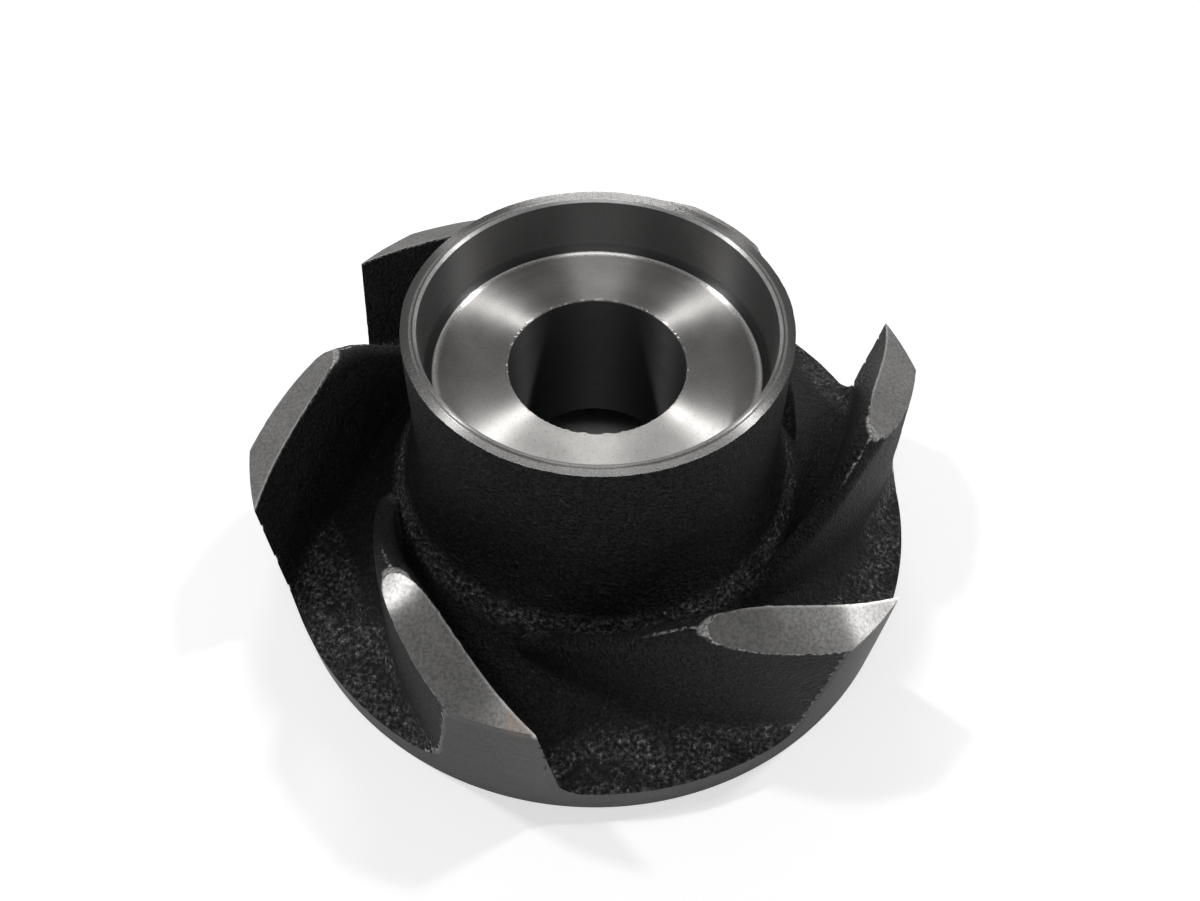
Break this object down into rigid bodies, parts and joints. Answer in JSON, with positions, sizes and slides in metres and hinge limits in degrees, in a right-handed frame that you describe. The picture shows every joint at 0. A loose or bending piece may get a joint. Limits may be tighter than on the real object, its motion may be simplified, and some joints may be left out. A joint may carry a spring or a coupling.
{
  "type": "pump impeller",
  "caption": "Semi-open cast iron pump impeller with swept vanes on a back plate, a bored seal cup on a flared hub and a plain shaft bore.",
  "frame": {"origin": "on the shaft axis, in the plane of the back face", "axes": "+Z along the shaft axis, from the back face towards the seal cup; +X is 17.2 degrees clockwise of the middle of the first vane at the rim"},
  "size_m": [0.1, 0.1, 0.0451],
  "materials": {
    "cast_iron": "as cast, near black and gritty, with turned grey faces on the cup, the seal seat, the vane tops and the rim"
  },
  "bodies": {
    "root": {"impeller": "cast_iron"}
  },
  "joints": []
}
